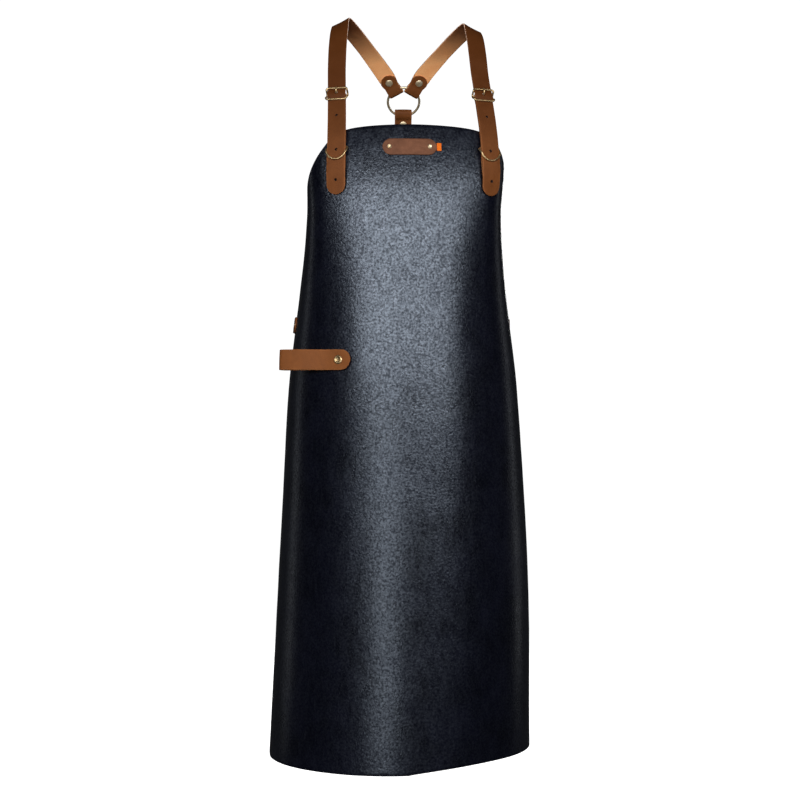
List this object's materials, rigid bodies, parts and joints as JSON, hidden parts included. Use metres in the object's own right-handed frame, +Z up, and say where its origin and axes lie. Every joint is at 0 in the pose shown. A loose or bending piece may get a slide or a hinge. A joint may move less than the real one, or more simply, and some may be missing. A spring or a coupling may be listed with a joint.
{
  "type": "leather grill apron",
  "caption": "Long one-piece black hide apron with buckled brown shoulder straps crossing to a back ring, a waist strap, a bare patch and a towel loop.",
  "frame": {"origin": "midway between the two shoulder straps, at the height where they rest on the shoulders", "axes": "+Z up, -Y to the wearer's front, +X to the right of a viewer facing the apron"},
  "size_m": [0.4144, 0.3261, 1.161],
  "materials": {
    "hide": "waxed black grain leather, semi-gloss",
    "strap": "brown bridle leather with raw tan flesh side",
    "patch": "matt brown leather",
    "ribbon": "orange woven ribbon",
    "brass": "antique brass"
  },
  "bodies": {
    "root": {"apron_panel": "hide", "label_patch": "patch", "ribbon_tab": "ribbon", "shoulder_strap_left": "strap", "shoulder_strap_right": "strap", "buckle_tab_left": "strap", "buckle_tab_right": "strap", "back_strap": "strap", "waist_strap": "strap", "towel_loop": "strap", "buckle_frame_left": "brass", "buckle_frame_right": "brass", "buckle_tongue_left": "brass", "buckle_tongue_right": "brass", "keeper_ring_left": "brass", "keeper_ring_right": "brass", "buckle_tab_rivet_left": "brass", "buckle_tab_rivet_right": "brass", "back_ring": "brass", "strap_end_rivet_left": "brass", "strap_end_rivet_right": "brass", "back_strap_rivet": "brass", "back_waist_rivet": "brass", "waist_rivet_left": "brass", "waist_rivet_right": "brass", "label_rivet_left": "brass", "label_rivet_right": "brass", "towel_loop_rivet": "brass"}
  },
  "joints": []
}
